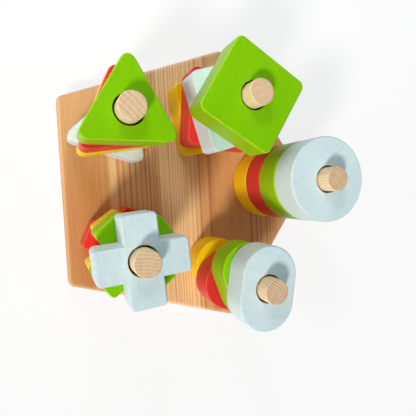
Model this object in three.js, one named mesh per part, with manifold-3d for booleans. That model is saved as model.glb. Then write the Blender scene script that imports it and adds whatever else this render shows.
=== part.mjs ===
// A stacking shape board: a pentagon base with an upright dowel near each corner,
// and four drilled blocks of one shape on each dowel. Millimetres, +Z up.
// The origin is the centre of the board's underside, and +X runs to the disc stack's corner.
import * as THREE from "three";
import { mergeVertices } from "three/addons/utils/BufferGeometryUtils.js";
import Module from "manifold-3d";

// Board
const boardCornerDistance = 100; // from the centre to each corner, measured before the corner is rounded
const boardThickness = 15;
const boardCornerRadius = 4;
const boardEdgeRound = 3;

// Dowels
const pegDiameter = 13.6;
const pegProud = 8.4; // what stands above the top block
const pegChamfer = 0.7;
const socketFloor = 5; // the wood that is left under a dowel's blind hole
const glueGap = 0.2;
const discInset = 40.3; // each inset is the distance from the board's corner to the dowel
const squareInset = 52;
const triangleInset = 37;
const crossInset = 40.5;
const ovalInset = 39.5;

// Blocks
const blockThickness = 18.5;
const blockEdgeRound = 1;
const holeClearance = 1; // between a block's hole and its dowel, all round
const seatGap = 0.3; // under each block
const triangleSide = 51.7;
const triangleCornerRadius = 4.5;
const squareSide = 46;
const squareCornerRadius = 4;
const discDiameter = 49;
const ovalLength = 47;
const ovalWidth = 32.4;
const crossSpan = 46.7;
const crossArmWidth = 18;
const crossCornerRadius = 2.4;

// Facets
const pegSides = 24;
const holeSides = 20;
const discSides = 40;
const roundEndSteps = 16;
const cornerSteps = 4;
const smallCornerSteps = 2;
const edgeSteps = 2;

// Finishes
const pine = { color: 0xdca468, roughness: 0.55 };
const beech = { color: 0xe4c4a0, roughness: 0.7 };
const stains = {
  green: { color: 0x88cd00, roughness: 0.5 },
  red: { color: 0xdd3834, roughness: 0.5 },
  yellow: { color: 0xf5cd00, roughness: 0.5 },
  pale_blue: { color: 0xcbe2e7, roughness: 0.5 },
};

// One stack for each corner of the board, going round from +X.
// blocks: from the board up, each with the degrees that it is turned about its dowel.
const stacks = [
  {
    shape: "disc",
    outline: discOutline,
    inset: discInset,
    blocks: [
      { stain: "yellow", turn: 0 },
      { stain: "red", turn: 0 },
      { stain: "green", turn: 0 },
      { stain: "pale_blue", turn: 0 },
    ],
  },
  {
    shape: "square",
    outline: squareOutline,
    inset: squareInset,
    blocks: [
      { stain: "yellow", turn: 8 },
      { stain: "red", turn: -6 },
      { stain: "pale_blue", turn: 15 },
      { stain: "green", turn: -33 },
    ],
  },
  {
    shape: "triangle",
    outline: triangleOutline,
    inset: triangleInset,
    blocks: [
      { stain: "pale_blue", turn: 71 },
      { stain: "yellow", turn: 97 },
      { stain: "red", turn: 96 },
      { stain: "green", turn: 88 },
    ],
  },
  {
    shape: "cross",
    outline: crossOutline,
    inset: crossInset,
    blocks: [
      { stain: "red", turn: 64 },
      { stain: "yellow", turn: 33 },
      { stain: "green", turn: 38 },
      { stain: "pale_blue", turn: 4 },
    ],
  },
  {
    shape: "oval",
    outline: ovalOutline,
    inset: ovalInset,
    blocks: [
      { stain: "yellow", turn: 130 },
      { stain: "red", turn: 32 },
      { stain: "green", turn: 108 },
      { stain: "pale_blue", turn: 80 },
    ],
  },
];

// Sizes that follow from the ones above
const pegRadius = pegDiameter / 2;
const holeRadius = pegRadius + holeClearance;
const socketRadius = pegRadius + glueGap;
const socketDepth = boardThickness - socketFloor;
const blockPitch = blockThickness + seatGap;
const mostBlocks = Math.max(...stacks.map((stack) => stack.blocks.length));
const pegHeight = mostBlocks * blockPitch + pegProud; // above the board

const wasm = await Module();
wasm.setup();

function arcPoints(centre, radius, from, to, steps) {
  const points = [];
  for (let i = 0; i <= steps; i++) {
    const angle = from + ((to - from) * i) / steps;
    const point = new THREE.Vector2(Math.cos(angle), Math.sin(angle));
    points.push(point.multiplyScalar(radius).add(centre));
  }
  return points;
}

function regularCorners(count, cornerDistance, firstAngle) {
  const middle = new THREE.Vector2();
  return arcPoints(middle, cornerDistance, firstAngle, firstAngle + 2 * Math.PI, count).slice(0, -1);
}

// A round hole whose flats touch the radius, so that what fits inside clears the facets.
function holeOutline(radius) {
  return regularCorners(holeSides, radius / Math.cos(Math.PI / holeSides), 0);
}

// The arc that takes the place of an outline's corner and touches both of the corner's sides.
function roundedCorner(before, corner, after, radius, steps) {
  const back = before.clone().sub(corner).normalize();
  const on = after.clone().sub(corner).normalize();
  const half = Math.acos(back.dot(on)) / 2;
  const centre = back.clone().add(on).setLength(radius / Math.sin(half)).add(corner);
  const start = back.clone().multiplyScalar(radius / Math.tan(half)).add(corner).sub(centre).angle();
  const sweep = (Math.PI - 2 * half) * Math.sign(on.cross(back));
  return arcPoints(centre, radius, start, start + sweep, steps);
}

function roundedOutline(corners, radius, steps) {
  const count = corners.length;
  return corners.flatMap((corner, i) =>
    roundedCorner(corners.at(i - 1), corner, corners[(i + 1) % count], radius, steps),
  );
}

function discOutline() {
  return regularCorners(discSides, discDiameter / 2, 0);
}

function squareOutline() {
  const corners = regularCorners(4, squareSide / Math.SQRT2, Math.PI / 4);
  return roundedOutline(corners, squareCornerRadius, cornerSteps);
}

function triangleOutline() {
  const corners = regularCorners(3, triangleSide / Math.sqrt(3), 0);
  return roundedOutline(corners, triangleCornerRadius, cornerSteps);
}

// Two half circles joined by straight sides, long way along X.
function ovalOutline() {
  const endRadius = ovalWidth / 2;
  const endCentre = new THREE.Vector2(ovalLength / 2 - endRadius, 0);
  const rightEnd = arcPoints(endCentre, endRadius, -Math.PI / 2, Math.PI / 2, roundEndSteps);
  return [...rightEnd, ...rightEnd.map((point) => point.clone().negate())];
}

// One arm's end and the inner corner after it, turned four times.
function crossOutline() {
  const tip = crossSpan / 2;
  const side = crossArmWidth / 2;
  const innerBefore = new THREE.Vector2(side, -side);
  const endBefore = new THREE.Vector2(tip, -side);
  const endAfter = new THREE.Vector2(tip, side);
  const innerAfter = new THREE.Vector2(side, side);
  const arm = [
    ...roundedCorner(innerBefore, endBefore, endAfter, crossCornerRadius, smallCornerSteps),
    ...roundedCorner(endBefore, endAfter, innerAfter, crossCornerRadius, smallCornerSteps),
    innerAfter,
  ];
  const middle = new THREE.Vector2();
  return [0, 1, 2, 3].flatMap((quarter) =>
    arm.map((point) => point.clone().rotateAround(middle, (quarter * Math.PI) / 2)),
  );
}

// A plate standing on z = 0 with its edges eased at both faces, and round any hole.
function easedPlate(outline, thickness, edgeRound, hole) {
  const shape = new THREE.Shape(outline);
  if (hole) shape.holes.push(new THREE.Path(hole));
  const plate = new THREE.ExtrudeGeometry(shape, {
    depth: thickness - 2 * edgeRound,
    bevelThickness: edgeRound,
    bevelSize: edgeRound,
    bevelOffset: -edgeRound,
    bevelSegments: edgeSteps,
  });
  return plate.translate(0, 0, edgeRound);
}

// A round bar along +Z between two heights, with its end edges chamfered.
function dowelBar(radius, bottom, top, chamfer) {
  const profile = [
    new THREE.Vector2(0, bottom),
    new THREE.Vector2(radius - chamfer, bottom),
    new THREE.Vector2(radius, bottom + chamfer),
    new THREE.Vector2(radius, top - chamfer),
    new THREE.Vector2(radius - chamfer, top),
    new THREE.Vector2(0, top),
  ];
  return new THREE.LatheGeometry(profile, pegSides).rotateX(Math.PI / 2);
}

function toSolid(geometry) {
  const bare = geometry.clone();
  bare.deleteAttribute("normal");
  bare.deleteAttribute("uv");
  const merged = mergeVertices(bare);
  const mesh = new wasm.Mesh({
    numProp: 3,
    vertProperties: merged.attributes.position.array,
    triVerts: new Uint32Array(merged.index.array),
  });
  return new wasm.Manifold(mesh);
}

function toGeometry(solid) {
  const { vertProperties, triVerts } = solid.getMesh();
  const geometry = new THREE.BufferGeometry();
  geometry.setAttribute("position", new THREE.BufferAttribute(vertProperties, 3));
  geometry.setIndex(new THREE.BufferAttribute(triVerts, 1));
  geometry.computeVertexNormals();
  return geometry;
}

function namedMesh(name, geometry, finish) {
  const mesh = new THREE.Mesh(geometry, new THREE.MeshStandardMaterial({ ...finish, metalness: 0 }));
  mesh.name = name;
  return mesh;
}

// Where a stack's dowel comes out of the board's top.
function pegFoot(stack) {
  const cornerAngle = (2 * Math.PI * stacks.indexOf(stack)) / stacks.length;
  const reach = boardCornerDistance - stack.inset;
  return new THREE.Vector3(reach * Math.cos(cornerAngle), reach * Math.sin(cornerAngle), boardThickness);
}

function makePeg(stack) {
  const bar = dowelBar(pegRadius, glueGap - socketDepth, pegHeight, pegChamfer);
  const peg = namedMesh("peg_" + stack.shape, bar, beech);
  peg.position.copy(pegFoot(stack));
  return peg;
}

// A dowel's blind hole as a solid, twice as long as it is deep so that it comes out of the board's top.
function socketSolid(stack) {
  const drill = new THREE.CylinderGeometry(socketRadius, socketRadius, 2 * socketDepth, pegSides);
  return toSolid(drill.rotateX(Math.PI / 2).translate(...pegFoot(stack)));
}

function makeBoard() {
  const corners = regularCorners(stacks.length, boardCornerDistance, 0);
  const outline = roundedOutline(corners, boardCornerRadius, cornerSteps);
  const blank = toSolid(easedPlate(outline, boardThickness, boardEdgeRound));
  const drilled = stacks.reduce((board, stack) => board.subtract(socketSolid(stack)), blank);
  return namedMesh("base_board", toGeometry(drilled), pine);
}

function makeBlock(stack, level) {
  const { stain, turn } = stack.blocks[level];
  const plate = easedPlate(stack.outline(), blockThickness, blockEdgeRound, holeOutline(holeRadius));
  const block = namedMesh(stain + "_" + stack.shape, plate, stains[stain]);
  block.position.copy(pegFoot(stack));
  block.position.z += seatGap + level * blockPitch;
  block.rotation.z = THREE.MathUtils.degToRad(turn);
  return block;
}

const shapeBoard = new THREE.Group();
shapeBoard.add(makeBoard());
for (const stack of stacks) {
  shapeBoard.add(makePeg(stack));
  stack.blocks.forEach((block, level) => shapeBoard.add(makeBlock(stack, level)));
}

export default shapeBoard;
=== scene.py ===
import math
import bmesh
import bpy
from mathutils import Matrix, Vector


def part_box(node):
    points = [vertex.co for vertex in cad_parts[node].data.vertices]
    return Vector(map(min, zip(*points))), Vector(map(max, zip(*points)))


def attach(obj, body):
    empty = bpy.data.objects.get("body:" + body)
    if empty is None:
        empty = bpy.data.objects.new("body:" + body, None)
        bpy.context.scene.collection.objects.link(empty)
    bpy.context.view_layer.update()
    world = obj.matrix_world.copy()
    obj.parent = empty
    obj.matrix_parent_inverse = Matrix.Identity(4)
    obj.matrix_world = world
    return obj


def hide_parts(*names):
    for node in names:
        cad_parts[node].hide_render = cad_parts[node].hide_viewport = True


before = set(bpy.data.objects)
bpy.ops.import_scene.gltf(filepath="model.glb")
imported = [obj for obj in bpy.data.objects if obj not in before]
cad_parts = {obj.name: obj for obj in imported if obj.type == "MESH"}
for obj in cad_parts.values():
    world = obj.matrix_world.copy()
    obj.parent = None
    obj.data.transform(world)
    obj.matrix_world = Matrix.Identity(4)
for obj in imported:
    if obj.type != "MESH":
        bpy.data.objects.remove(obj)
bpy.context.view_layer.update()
mm = 0.001
tiny = 1e-6  # metres: points closer than this are one point
nearly = 0.1  # how far a slope may be from level or upright
smoothAngle = 32  # degrees: sharper edges stay sharp
drillPast = 5 * mm  # beyond a face that a drill comes out of
print("frame loaded")


# helpers for work in edit mode, with lengths in metres

def deselectAll():
    if bpy.context.object and bpy.context.object.mode != "OBJECT":
        bpy.ops.object.mode_set(mode="OBJECT")
    bpy.ops.object.select_all(action="DESELECT")


def workOn(piece):
    deselectAll()
    piece.select_set(True)
    bpy.context.view_layer.objects.active = piece


def settle(piece):  # place, turn and scale go into the mesh
    workOn(piece)
    bpy.ops.object.transform_apply(location=True, rotation=True, scale=True)


def started(name):  # the primitive that was just added
    piece = bpy.context.object
    piece.name = name
    settle(piece)
    return piece


def addRound(name, sides, radius, low, high, centre=(0, 0), turn=0):
    deselectAll()
    bpy.ops.mesh.primitive_cylinder_add(vertices=sides, radius=radius, depth=high - low,
                                        rotation=(0, 0, turn), location=(*centre, (low + high) / 2))
    return started(name)


def addBar(name, side, height):  # a square bar that stands on the origin
    deselectAll()
    bpy.ops.mesh.primitive_cube_add(size=1, scale=(side, side, height), location=(0, 0, height / 2))
    return started(name)


def pick(piece, kind, wanted):  # kind is VERT, EDGE or FACE
    workOn(piece)
    bpy.ops.object.mode_set(mode="EDIT")
    bpy.ops.mesh.select_mode(type=kind)
    bpy.ops.mesh.select_all(action="DESELECT")
    shape = bmesh.from_edit_mesh(piece.data)
    items = {"VERT": shape.verts, "EDGE": shape.edges, "FACE": shape.faces}[kind]
    for item in items:
        item.select_set(wanted(item))
    bmesh.update_edit_mesh(piece.data)


def bevelPicked(offset, steps):
    bpy.ops.mesh.bevel(offset=offset, offset_type="OFFSET", segments=steps, affect="EDGES",
                       profile=0.5, clamp_overlap=False, loop_slide=False)  # this profile is round
    bpy.ops.object.mode_set(mode="OBJECT")


def isUpright(edge):
    first, second = (vert.co for vert in edge.verts)
    return (first.xy - second.xy).length < tiny


def isRim(edge):  # between a flat face and a wall
    slopes = sorted(abs(face.normal.z) for face in edge.link_faces)
    return len(slopes) == 2 and slopes[0] < nearly and slopes[1] > 1 - nearly


def middleOf(edge):
    return (edge.verts[0].co + edge.verts[1].co) / 2


def drill(piece, centre, radius, low, high, sides):
    bit = addRound("drill_bit", sides, radius, low, high, centre)
    workOn(piece)
    cut = piece.modifiers.new("drill", "BOOLEAN")
    cut.operation = "DIFFERENCE"
    cut.solver = "EXACT"
    cut.object = bit
    bpy.ops.object.modifier_apply(modifier="drill")
    bpy.data.objects.remove(bit)


def smoothOff(piece):
    workOn(piece)
    bpy.ops.object.mode_set(mode="EDIT")
    bpy.ops.mesh.select_all(action="SELECT")
    bpy.ops.mesh.remove_doubles(threshold=tiny)
    bpy.ops.mesh.normals_make_consistent(inside=False)
    bpy.ops.object.mode_set(mode="OBJECT")
    bpy.ops.object.shade_smooth_by_angle(angle=math.radians(smoothAngle))
    even = piece.modifiers.new("even", "WEIGHTED_NORMAL")
    even.keep_sharp = True
    bpy.ops.object.modifier_apply(modifier="even")


def setFinish(piece, finish):
    piece.data.materials.clear()
    piece.data.materials.append(finish)


def carry(piece, body, node):
    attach(piece, body)
    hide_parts(node)


def centreOf(node):
    low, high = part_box(node)
    return (low + high) / 2


# helpers for the nodes of the finishes

def newFinish(name):
    finish = bpy.data.materials.new(name)
    finish.use_nodes = True
    tree = finish.node_tree
    return finish, tree, tree.nodes["Principled BSDF"]


def addNode(tree, kind, **settings):
    node = tree.nodes.new(kind)
    for key, value in settings.items():
        setattr(node, key, value)
    return node


def setInputs(node, values):
    for key, value in values.items():
        node.inputs[key].default_value = value


def join(tree, source, target):
    tree.links.new(source, target)


def feed(tree, value, socket):  # a number, a colour or another node's output
    if isinstance(value, (int, float)):
        socket.default_value = value
    elif isinstance(value, tuple):
        socket.default_value = (*value, 1)
    else:
        join(tree, value, socket)


def grainSpace(tree, centre, turn):  # measured from the centre, with the axes turned about Z
    where = addNode(tree, "ShaderNodeTexCoord")
    turned = addNode(tree, "ShaderNodeMapping", vector_type="TEXTURE")
    setInputs(turned, {"Location": centre, "Rotation": (0, 0, turn)})
    join(tree, where.outputs["Object"], turned.inputs["Vector"])
    return turned.outputs["Vector"]


def stretched(tree, space, scale):
    node = addNode(tree, "ShaderNodeMapping", vector_type="POINT")
    setInputs(node, {"Scale": scale})
    join(tree, space, node.inputs["Vector"])
    return node.outputs["Vector"]


def noise(tree, space, scale, detail=2, rough=0.5, distortion=0, stretch=None):
    if stretch:
        space = stretched(tree, space, stretch)
    node = addNode(tree, "ShaderNodeTexNoise")
    setInputs(node, {"Scale": scale, "Detail": detail, "Roughness": rough, "Distortion": distortion})
    join(tree, space, node.inputs["Vector"])
    return node.outputs["Fac"]


def ramp(tree, value, stops):  # each stop is a place and the level there
    node = addNode(tree, "ShaderNodeValToRGB")
    bar = node.color_ramp.elements
    while len(bar) < len(stops):
        bar.new(0.5)
    for element, (place, level) in zip(bar, stops):
        element.position = place
        element.color = (level, level, level, 1)
    join(tree, value, node.inputs["Fac"])
    return node.outputs["Color"]


def sums(tree, operation, first, second=0):
    node = addNode(tree, "ShaderNodeMath", operation=operation)
    feed(tree, first, node.inputs[0])
    feed(tree, second, node.inputs[1])
    return node.outputs["Value"]


def plus(tree, first, second):
    return sums(tree, "ADD", first, second)


def times(tree, first, second):
    return sums(tree, "MULTIPLY", first, second)


def mixed(tree, blend, share, first, second):
    node = addNode(tree, "ShaderNodeMix", data_type="RGBA", blend_type=blend)
    for place, value in ((0, share), (6, first), (7, second)):  # the sockets of a colour mix
        feed(tree, value, node.inputs[place])
    return node.outputs[2]


def covered(tree, share, under, over):  # the second colour over the first
    return mixed(tree, "MIX", share, under, over)


def shaded(tree, share, tone, shade):  # the two colours multiplied
    return mixed(tree, "MULTIPLY", share, tone, shade)


def parts(tree, space):
    node = addNode(tree, "ShaderNodeSeparateXYZ")
    join(tree, space, node.inputs["Vector"])
    return node.outputs["X"], node.outputs["Y"], node.outputs["Z"]


def between(tree, value, low, high, result=1):  # 0 below low, rising to the result at high
    node = addNode(tree, "ShaderNodeMapRange", clamp=True)
    setInputs(node, {"From Min": low, "From Max": high, "To Min": 0, "To Max": result})
    join(tree, value, node.inputs["Value"])
    return node.outputs["Result"]


def bumped(tree, shader, height, distance, strength):
    node = addNode(tree, "ShaderNodeBump")
    setInputs(node, {"Strength": strength, "Distance": distance})
    join(tree, height, node.inputs["Height"])
    join(tree, node.outputs["Normal"], shader.inputs["Normal"])


def facingUp(tree):  # 1 on level faces, 0 on walls
    node = addNode(tree, "ShaderNodeNewGeometry")
    up = parts(tree, node.outputs["Normal"])[2]
    return sums(tree, "ABSOLUTE", up)


def linear(colour):  # from the 0 to 255 values of a screen colour
    tones = []
    for tone in (value / 255 for value in colour):
        tones.append(tone / 12.92 if tone <= 0.04045 else ((tone + 0.055) / 1.055) ** 2.4)
    return tuple(tones)


# stained blocks

# side is a wall tone: the stain with painted bounce light and sheen
stainLook = {
    # edge is partly worn stain, partly a painted highlight; pale blue's edge is painted shade
    "green": {"top": (134, 200, 0), "deep": (114, 184, 0), "side": (146, 188, 2), "edge": (182, 220, 10),
              "gloss": 0.36, "grain": 0.55},
    "red": {"top": (226, 54, 48), "deep": (206, 38, 34), "side": (216, 57, 46), "edge": (234, 98, 74),
            "gloss": 0.36, "grain": 0.5},
    "yellow": {"top": (252, 214, 0), "deep": (244, 197, 0), "side": (252, 208, 0), "edge": (255, 222, 40),
               "gloss": 0.36, "grain": 0.5},
    "pale_blue": {"top": (219, 237, 240), "deep": (201, 222, 227), "side": (210, 223, 223),
                  "edge": (188, 203, 200), "gloss": 0.4, "grain": 0.8},
}
stainGrain = {  # the same under every stain: noises, how much each gives, and the bump in mm
    "fibre": {"scale": 1300, "detail": 3, "rough": 0.6, "stretch": (0.05, 1, 1)},
    "figure": {"scale": 140, "distortion": 0.6, "stretch": (0.12, 1, 0.5)},
    "mottle": {"scale": 520, "detail": 3, "rough": 0.65},
    "streaks": {"fibre": 0.45, "figure": 0.2, "mottle": 0.35},
    "cloud": {"scale": 60},
    "speck": {"scale": 620, "detail": 1},
    "wearAndHighlight": {"scale": 420},
    "speckShare": 0.35, "paintedWallLightShare": 0.9, "duller": 0.1, "bump": 0.05, "bumpStrength": 0.6,
}


def stainFinish(name, look, centre, turn):
    grain = stainGrain
    finish, tree, shader = newFinish(name)
    space = grainSpace(tree, centre, turn)  # X runs along the grain
    top, deep, side, edge = (linear(look[key]) for key in ("top", "deep", "side", "edge"))
    streaks = 0.0
    for key, share in grain["streaks"].items():
        streaks = plus(tree, streaks, times(tree, noise(tree, space, **grain[key]), share))
    depth = ramp(tree, streaks, [(0.38, 1.0), (0.62, 0.0)])
    tone = covered(tree, times(tree, depth, look["grain"]), top, deep)
    cloud = noise(tree, space, **grain["cloud"])
    tone = shaded(tree, 1.0, tone, ramp(tree, cloud, [(0.3, 0.95), (0.7, 1.0)]))
    speck = ramp(tree, noise(tree, space, **grain["speck"]), [(0.2, 1.0), (0.25, 0.0)])
    tone = shaded(tree, times(tree, speck, grain["speckShare"]), tone, deep)
    slope = facingUp(tree)
    # painted light: walls take the side tone, which paints in the bounce light and sheen that walls catch
    wall = ramp(tree, slope, [(0.2, 1.0), (0.5, 0.0)])
    tone = covered(tree, times(tree, wall, grain["paintedWallLightShare"]), tone, side)
    # edge tone along the rims: partly worn stain, partly a painted highlight; on pale blue it is painted
    # shade that damps the lit rim
    rim = ramp(tree, slope, [(0.4, 0.0), (0.6, 1.0), (0.84, 1.0), (0.95, 0.0)])
    wornAndHighlightedRim = ramp(tree, noise(tree, space, **grain["wearAndHighlight"]), [(0.35, 0.2), (0.6, 0.8)])
    tone = covered(tree, times(tree, rim, wornAndHighlightedRim), tone, edge)
    join(tree, tone, shader.inputs["Base Color"])
    sheen = ramp(tree, streaks, [(0.3, look["gloss"] + grain["duller"]), (0.7, look["gloss"])])
    join(tree, sheen, shader.inputs["Roughness"])
    join(tree, ramp(tree, slope, [(0.2, 0.26), (0.9, 0.1)]), shader.inputs["Specular IOR Level"])
    bumped(tree, shader, streaks, grain["bump"] * mm, grain["bumpStrength"])
    return finish


blockSize = {"thick": 18.5, "holeRadius": 7.8, "holeSides": 64, "holeEdge": 0.5, "holeEdgeSteps": 3,
             "easedEdge": 1, "easedSteps": 5}
thick = blockSize["thick"] * mm
holeSpare = 0.1 * mm  # rims no further than this past the hole's radius are the hole's own


def finishBlock(block):
    size = blockSize
    radius = size["holeRadius"] * mm
    drill(block, (0, 0), radius, -drillPast, thick + drillPast, size["holeSides"])
    pick(block, "EDGE", lambda edge: isRim(edge) and middleOf(edge).xy.length > radius + holeSpare)
    bevelPicked(size["easedEdge"] * mm, size["easedSteps"])
    pick(block, "EDGE", lambda edge: isRim(edge) and middleOf(edge).xy.length < radius + holeSpare)
    bevelPicked(size["holeEdge"] * mm, size["holeEdgeSteps"])
    smoothOff(block)
    return block


triangleShape = {"side": 51.7, "cornerCut": 7.8, "cornerSteps": 10}


def modelTriangle():
    size = triangleShape
    block = addRound("triangleModel", 3, size["side"] / math.sqrt(3) * mm, 0, thick, turn=-math.pi / 2)
    pick(block, "EDGE", isUpright)
    bevelPicked(size["cornerCut"] * mm, size["cornerSteps"])
    return finishBlock(block)


squareShape = {"side": 46, "cornerCut": 4, "cornerSteps": 8}


def modelSquare():
    size = squareShape
    block = addBar("squareModel", size["side"] * mm, thick)
    pick(block, "EDGE", isUpright)
    bevelPicked(size["cornerCut"] * mm, size["cornerSteps"])
    return finishBlock(block)


discShape = {"across": 49, "sides": 128}


def modelDisc():
    size = discShape
    return finishBlock(addRound("discModel", size["sides"], size["across"] / 2 * mm, 0, thick))


ovalShape = {"long": 47, "wide": 32.4, "sides": 112}


def modelOval():
    size = ovalShape
    halfStep = math.pi / size["sides"]  # no corner lies on the middle line
    block = addRound("ovalModel", size["sides"], size["wide"] / 2 * mm, 0, thick, turn=halfStep)
    pull = (size["long"] - size["wide"]) / 2 * mm
    for side in (1, -1):  # the two half circles are pulled apart
        pick(block, "VERT", lambda vert: vert.co.x * side > 0)
        bpy.ops.transform.translate(value=(pull * side, 0, 0))
        bpy.ops.object.mode_set(mode="OBJECT")
    return finishBlock(block)


crossShape = {"span": 46.7, "arm": 18, "cornerCut": 2.4, "cornerSteps": 6, "flatAngle": 1}


def modelCross():
    size = crossShape
    block = addBar("crossModel", size["arm"] * mm, thick)
    reach = (size["span"] - size["arm"]) / 2 * mm
    tip = size["span"] / 2 * mm
    for way in (Vector((1, 0, 0)), Vector((0, 1, 0)), Vector((-1, 0, 0)), Vector((0, -1, 0))):
        pick(block, "FACE", lambda face: face.normal.dot(way) > 1 - nearly
             and face.calc_center_median().xy.length < tip / 2)  # a wall of the bar, not of an arm
        bpy.ops.mesh.extrude_region_move(TRANSFORM_OT_translate={"value": way * reach})
    bpy.ops.mesh.select_all(action="SELECT")
    bpy.ops.mesh.dissolve_limited(angle_limit=math.radians(size["flatAngle"]))  # one face above, one below
    pick(block, "EDGE", lambda edge: isUpright(edge) and middleOf(edge).xy.length > tip)
    bevelPicked(size["cornerCut"] * mm, size["cornerSteps"])
    return finishBlock(block)


# blocks from the board up: stain, angle about the dowel, and angle of the grain within the block
stackedBlocks = {
    "disc": [("yellow", 0, 20), ("red", 0, -15), ("green", 0, 65), ("pale_blue", 0, 45)],
    "square": [("yellow", 8, 0), ("red", -6, 90), ("pale_blue", 15, 90), ("green", -33, 90)],
    "triangle": [("pale_blue", 71, 0), ("yellow", 97, 90), ("red", 96, 90), ("green", 88, 0)],
    "cross": [("red", 64, 0), ("yellow", 33, 90), ("green", 38, 0), ("pale_blue", 4, 90)],
    "oval": [("yellow", 130, 0), ("red", 32, 0), ("green", 108, 0), ("pale_blue", 80, 90)],
}
modelMakers = {"disc": modelDisc, "square": modelSquare, "triangle": modelTriangle, "cross": modelCross,
               "oval": modelOval}
# how far the grain's heart lies under a block in mm, by its name, so that no two in a stack are alike
heartDepth = {"least": 20, "perLetter": 4}


def placeBlock(model, shapeName, stain, turn, grain):
    node = stain + "_" + shapeName
    foot = centreOf("peg_" + shapeName)
    foot.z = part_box(node)[0].z
    block = model.copy()
    block.data = model.data.copy()
    block.name = "block_" + node
    bpy.context.scene.collection.objects.link(block)
    block.location = foot
    block.rotation_euler = (0, 0, math.radians(turn))
    settle(block)
    depth = (heartDepth["least"] + heartDepth["perLetter"] * len(node)) * mm
    heart = foot - Vector((0, 0, depth))
    setFinish(block, stainFinish("stain_" + node, stainLook[stain], heart, math.radians(turn + grain)))
    carry(block, node, node)


for shapeName, blocks in stackedBlocks.items():
    model = modelMakers[shapeName]()
    for stain, turn, grain in blocks:
        placeBlock(model, shapeName, stain, turn, grain)
    bpy.data.objects.remove(model)
    print("blocks made:", shapeName)


# dowels

dowelMake = {  # sizes, tones, noises, how much each gives, and the sway of the rings and the bump in mm
    "radius": 6.8, "sides": 72, "rim": 0.7, "rimSteps": 3, "foot": 0.7, "footSteps": 1,
    "end": (230, 199, 160), "endLine": (178, 126, 92), "side": (239, 212, 172), "sideLine": (214, 172, 120),
    "sway": {"scale": 170, "stretch": (1, 1, 0.05)},
    "patch": {"scale": 260, "stretch": (1, 1, 0.1)},
    "ray": {"scale": 1100, "stretch": (0.16, 1, 0.16)},
    "fleck": {"scale": 1500, "rough": 0.6, "stretch": (1, 1, 0.09)},
    "speckle": {"scale": 1900, "rough": 0.6},
    "swayReach": 0.8, "rayShare": 0.22, "sideLineShare": 0.6, "fleckShare": 0.5,
    "roughness": 0.62, "shine": 0.3, "bump": 0.08, "bumpStrength": 0.8,
}
dowelRings = {  # turn in degrees, spacing and distance to the heart in mm, and how dark the rings are
    "disc": {"turn": -45, "pitch": 1.35, "heart": 60, "dark": 0.95},
    "square": {"turn": 10, "pitch": 1.5, "heart": 60, "dark": 0.45},
    "triangle": {"turn": 43, "pitch": 2.4, "heart": 90, "dark": 0.4},
    "cross": {"turn": 80, "pitch": 1.7, "heart": 70, "dark": 0.4},
    "oval": {"turn": 47, "pitch": 1.4, "heart": 60, "dark": 0.9},
}


def dowelFinish(name, centre, rings):
    look = dowelMake
    finish, tree, shader = newFinish(name)
    space = grainSpace(tree, centre, math.radians(rings["turn"]))  # X points away from the heart
    outward, across = parts(tree, space)[:2]
    sway = times(tree, noise(tree, space, **look["sway"]), look["swayReach"] * mm)
    offset = plus(tree, outward, rings["heart"] * mm)
    squared = plus(tree, times(tree, offset, offset), times(tree, across, across))
    radius = plus(tree, sums(tree, "SQRT", squared), sway)
    ring = sums(tree, "FRACT", sums(tree, "DIVIDE", radius, rings["pitch"] * mm))
    line = ramp(tree, ring, [(0.0, 0.6), (0.2, 0.1), (0.5, 0.0), (0.85, 1.0)])
    patch = ramp(tree, noise(tree, space, **look["patch"]), [(0.3, 0.45), (0.65, 1.0)])
    line = times(tree, line, patch)
    ray = ramp(tree, noise(tree, space, **look["ray"]), [(0.55, 0.0), (0.7, 1.0)])
    fleck = noise(tree, space, **look["fleck"])
    fleckMask = ramp(tree, fleck, [(0.52, 0.0), (0.72, 1.0)])
    speckle = noise(tree, space, **look["speckle"])
    endPale, endDark = linear(look["end"]), linear(look["endLine"])
    endTone = covered(tree, times(tree, line, rings["dark"]), endPale, endDark)
    endTone = covered(tree, times(tree, ray, look["rayShare"]), endTone, endDark)
    endTone = shaded(tree, 1.0, endTone, ramp(tree, speckle, [(0.3, 0.9), (0.62, 1.0)]))
    sidePale, sideDark = linear(look["side"]), linear(look["sideLine"])
    sideTone = covered(tree, times(tree, line, rings["dark"] * look["sideLineShare"]), sidePale, sideDark)
    sideTone = covered(tree, times(tree, fleckMask, look["fleckShare"]), sideTone, sideDark)
    up = ramp(tree, facingUp(tree), [(0.7, 0.0), (0.96, 1.0)])
    join(tree, covered(tree, up, sideTone, endTone), shader.inputs["Base Color"])
    setInputs(shader, {"Roughness": look["roughness"], "Specular IOR Level": look["shine"]})
    bumped(tree, shader, fleck, look["bump"] * mm, look["bumpStrength"])
    return finish


def makeDowel(shapeName, rings):
    size = dowelMake
    low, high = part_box("peg_" + shapeName)
    middle = (low + high) / 2
    dowel = addRound("dowel_" + shapeName, size["sides"], size["radius"] * mm, low.z, high.z, middle.xy)
    pick(dowel, "EDGE", lambda edge: isRim(edge) and middleOf(edge).z < middle.z)
    bevelPicked(size["foot"] * mm, size["footSteps"])
    pick(dowel, "EDGE", lambda edge: isRim(edge) and middleOf(edge).z > middle.z)
    bevelPicked(size["rim"] * mm, size["rimSteps"])
    smoothOff(dowel)
    setFinish(dowel, dowelFinish("beech_" + shapeName, middle, rings))
    carry(dowel, "board", "peg_" + shapeName)


for shapeName, rings in dowelRings.items():
    makeDowel(shapeName, rings)
print("dowels made")


# pine board

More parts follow.
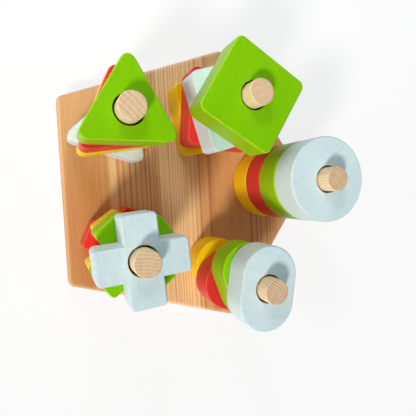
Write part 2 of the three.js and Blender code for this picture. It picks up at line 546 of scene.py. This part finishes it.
boardMake = {  # sizes, tones, noises and how much each gives, with lengths in mm
    "corners": 5, "cornerReach": 100, "cornerCut": 2.9, "cornerSteps": 8, "rim": 3, "rimSteps": 6,
    "socketRadius": 7, "socketFloor": 5,
    "pale": (250, 207, 152), "cream": (255, 219, 168), "tan": (197, 133, 65), "line": (172, 64, 38),
    "seam": (112, 58, 32),
    "seams": (-47, 17.2), "seamHalf": 0.2,  # where the strips are glued edge to edge
    "creamFrom": 5, "creamTo": 60,  # along the grain, painted paler towards one end: painted light
    "bandFade": 1,  # to each side of where two bands meet
    "sway": {"scale": 26, "stretch": (0.1, 1, 1)},
    "uneven": {"scale": 240, "detail": 1, "stretch": (0.004, 1, 1)},
    "patch": {"scale": 120, "stretch": (0.06, 1, 1)},
    "cloud": {"scale": 40, "stretch": (0.15, 1, 1)},
    "fibre": {"scale": 1300, "detail": 3, "rough": 0.6, "stretch": (0.03, 1, 1)},
    "swayReach": 5, "lean": 0.5, "unevenShare": 1.1, "cloudShare": 0.3, "lineShare": 0.9, "rimHighlightShare": 0.25,
    "seamShare": 0.6, "roughness": 0.5, "shine": 0.3, "bump": 0.08, "bumpStrength": 0.6,
}
# bands of grain from left to right: from and to in mm, growth rings, how dark they are, how pale the wood
grainBands = [
    {"from": -84, "to": -52, "rings": 22, "dark": 0.38, "pale": 0.1},
    {"from": -52, "to": -47, "rings": 1, "dark": 0.2, "pale": 0.6},
    {"from": -47, "to": -19, "rings": 7.5, "dark": 0.95, "pale": 0.25},
    {"from": -19, "to": 8, "rings": 13, "dark": 0.65, "pale": 0.9},
    {"from": 8, "to": 17.2, "rings": 3, "dark": 1.0, "pale": 0.35},
    {"from": 17.2, "to": 46, "rings": 2.4, "dark": 0.18, "pale": 0.15},
    {"from": 46, "to": 70, "rings": 6, "dark": 0.9, "pale": 0.2},
    {"from": 70, "to": 104, "rings": 12, "dark": 0.4, "pale": 0.3},
]


def pineFinish(name):
    look = boardMake
    finish, tree, shader = newFinish(name)
    across, along, deep = parts(tree, grainSpace(tree, (0, 0, 0), 0))
    space = grainSpace(tree, (0, 0, 0), math.pi / 2)  # X runs along the grain, which is the board's Y
    wander = sums(tree, "SUBTRACT", noise(tree, space, **look["sway"]), 0.5)
    placed = plus(tree, across, times(tree, wander, look["swayReach"] * mm))
    placed = plus(tree, placed, times(tree, deep, look["lean"]))
    fade = look["bandFade"] * mm
    phase, dark, pale = 0.0, 0.0, 0.0
    for band in grainBands:
        low, high = band["from"] * mm, band["to"] * mm
        phase = plus(tree, between(tree, placed, low, high, band["rings"]), phase)
        inside = sums(tree, "SUBTRACT", between(tree, across, low - fade, low + fade),
                      between(tree, across, high - fade, high + fade))
        dark = plus(tree, times(tree, inside, band["dark"]), dark)
        pale = plus(tree, times(tree, inside, band["pale"]), pale)
    uneven = noise(tree, space, **look["uneven"])
    ring = sums(tree, "FRACT", plus(tree, phase, times(tree, uneven, look["unevenShare"])))
    late = ramp(tree, ring, [(0.0, 0.5), (0.1, 0.12), (0.45, 0.0), (0.72, 0.25), (0.92, 1.0)])
    patch = ramp(tree, noise(tree, space, **look["patch"]), [(0.3, 0.5), (0.65, 1.0)])
    late = times(tree, times(tree, late, dark), patch)
    cloud = noise(tree, space, **look["cloud"])
    pale = plus(tree, pale, between(tree, cloud, 0.3, 0.7, look["cloudShare"]))
    tone = covered(tree, pale, linear(look["tan"]), linear(look["pale"]))
    cream = linear(look["cream"])
    # painted light: pale bands lighten towards one end of the board, a painted pool of light
    paintedLightTowardsTop = times(tree, pale, between(tree, along, look["creamFrom"] * mm, look["creamTo"] * mm))
    tone = covered(tree, paintedLightTowardsTop, tone, cream)
    tone = covered(tree, times(tree, late, look["lineShare"]), tone, linear(look["line"]))
    fibre = noise(tree, space, **look["fibre"])
    tone = shaded(tree, 1.0, tone, ramp(tree, fibre, [(0.3, 0.88), (0.7, 1.03)]))
    rim = ramp(tree, facingUp(tree), [(0.4, 0.0), (0.6, 1.0), (0.8, 1.0), (0.93, 0.0)])  # painted highlight: the rounded edges lighter
    tone = covered(tree, times(tree, rim, look["rimHighlightShare"]), tone, cream)
    for seam in look["seams"]:
        away = sums(tree, "ABSOLUTE", sums(tree, "SUBTRACT", across, seam * mm))
        joint = sums(tree, "LESS_THAN", away, look["seamHalf"] * mm)
        tone = covered(tree, times(tree, joint, look["seamShare"]), tone, linear(look["seam"]))
    join(tree, tone, shader.inputs["Base Color"])
    setInputs(shader, {"Roughness": look["roughness"], "Specular IOR Level": look["shine"]})
    bumped(tree, shader, fibre, look["bump"] * mm, look["bumpStrength"])
    return finish


def makeBoard():
    size = boardMake
    low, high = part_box("base_board")
    reach = size["cornerReach"] * mm
    board = addRound("pine_board", size["corners"], reach, low.z, high.z, turn=-math.pi / 2)
    pick(board, "EDGE", isUpright)
    bevelPicked(size["cornerCut"] * mm, size["cornerSteps"])
    pick(board, "EDGE", isRim)
    bevelPicked(size["rim"] * mm, size["rimSteps"])
    for shapeName in dowelRings:
        drill(board, centreOf("peg_" + shapeName).xy, size["socketRadius"] * mm, size["socketFloor"] * mm,
              high.z + drillPast, dowelMake["sides"])
    smoothOff(board)
    setFinish(board, pineFinish("oiled_pine"))
    carry(board, "board", "base_board")


makeBoard()
print("board made")


# floor, light and camera

studio = {  # the floor's size and drop are in metres
    "floorTone": 0.96, "floorSize": 6, "floorDrop": 0.3 * mm, "floorRoughness": 0.9, "shadowShare": 0.25,
    "sky": 0.26, "skyTint": (0.89, 1.01, 1.12), "backdrop": (1, 1, 1),
}


def seenDirectly(tree):  # 1 for what the camera sees, or sees by way of a mirror or glass
    rays = addNode(tree, "ShaderNodeLightPath").outputs
    bent = sums(tree, "MAXIMUM", rays["Is Glossy Ray"], rays["Is Transmission Ray"])
    return sums(tree, "MAXIMUM", rays["Is Camera Ray"], bent)


def coverShader(tree, share, under, over, output):
    cover = addNode(tree, "ShaderNodeMixShader")
    for source, socket in zip((share, under, over), cover.inputs):
        join(tree, source, socket)
    join(tree, cover.outputs["Shader"], tree.nodes[output].inputs["Surface"])


def makeFloor():
    deselectAll()
    bpy.ops.mesh.primitive_plane_add(size=studio["floorSize"], location=(0, 0, -studio["floorDrop"]))
    floor = started("floor")
    paper, tree, shader = newFinish("white_paper")
    tone = studio["floorTone"]
    setInputs(shader, {"Base Color": (tone, tone, tone, 1), "Roughness": studio["floorRoughness"],
                       "Specular IOR Level": 0})
    glow = addNode(tree, "ShaderNodeEmission")
    share = times(tree, seenDirectly(tree), 1 - studio["shadowShare"])  # the rest shows the shadow
    coverShader(tree, share, shader.outputs["BSDF"], glow.outputs["Emission"], "Material Output")
    setFinish(floor, paper)


def makeSky():
    sky = bpy.data.worlds.new("studio_sky")
    bpy.context.scene.world = sky
    sky.use_nodes = True
    tree = sky.node_tree
    ambient = tree.nodes["Background"]
    setInputs(ambient, {"Color": (*studio["skyTint"], 1), "Strength": studio["sky"]})
    backdrop = addNode(tree, "ShaderNodeBackground")
    setInputs(backdrop, {"Color": (*studio["backdrop"], 1)})
    coverShader(tree, seenDirectly(tree), ambient.outputs["Background"], backdrop.outputs["Background"],
                "World Output")


suns = {  # height and spread in degrees, and the share of a level face's brightness
    "window": {"from": (-0.64, -0.77), "height": 40, "share": 0.49, "spread": 12, "tint": (1.0, 0.96, 0.91)},
    "side": {"from": (-1, 0.1), "height": 18, "share": 0.05, "spread": 35, "tint": (1.0, 1.0, 0.97)},
}


def addSun(name, sun):
    height = math.radians(sun["height"])
    light = bpy.data.lights.new(name, "SUN")
    light.energy = sun["share"] * math.pi / math.sin(height)
    light.angle = math.radians(sun["spread"])
    light.color = sun["tint"]
    lamp = bpy.data.objects.new(name, light)
    bpy.context.scene.collection.objects.link(lamp)
    flat = Vector(sun["from"]).normalized() * math.cos(height)
    away = Vector((flat.x, flat.y, math.sin(height)))
    lamp.rotation_euler = away.to_track_quat("Z", "Y").to_euler()


# a soft lamp close by, which falls off across the board: place, aim and width in mm
softPanel = {"place": (-110, 290, 300), "aim": (0, 10, 60), "across": 150, "share": 0.2,
             "tint": (0.96, 1.0, 0.98)}


def addPanel(name, panel):
    place = Vector(panel["place"]) * mm
    away = place - Vector(panel["aim"]) * mm
    deselectAll()
    bpy.ops.object.light_add(type="AREA", location=place, rotation=away.to_track_quat("Z", "Y").to_euler())
    lamp = bpy.context.object
    lamp.name = name
    lamp.visible_camera = False
    lamp.data.shape = "DISK"
    lamp.data.size = panel["across"] * mm
    lamp.data.color = panel["tint"]
    lamp.data.energy = panel["share"] * math.pi ** 2 * away.length ** 3 / away.z


camera = {"place": (-87.53, -1.01, 278.97), "turn": (-1.893, -21.299, -3.035),  # mm and degrees
          "lens": 34.842, "sensor": 36, "nearest": 10}


def addCamera():
    deselectAll()
    bpy.ops.object.camera_add(location=Vector(camera["place"]) * mm,
                              rotation=[math.radians(angle) for angle in camera["turn"]])
    eye = bpy.context.object
    eye.name = "photo_camera"
    eye.data.sensor_width = camera["sensor"]
    eye.data.lens = camera["lens"]
    eye.data.clip_start = camera["nearest"] * mm
    bpy.context.scene.camera = eye


makeFloor()
makeSky()
for lampName, sun in suns.items():
    addSun(lampName, sun)
addPanel("soft_panel", softPanel)
addCamera()
bpy.context.scene.view_settings.view_transform = "Standard"
print("studio set")
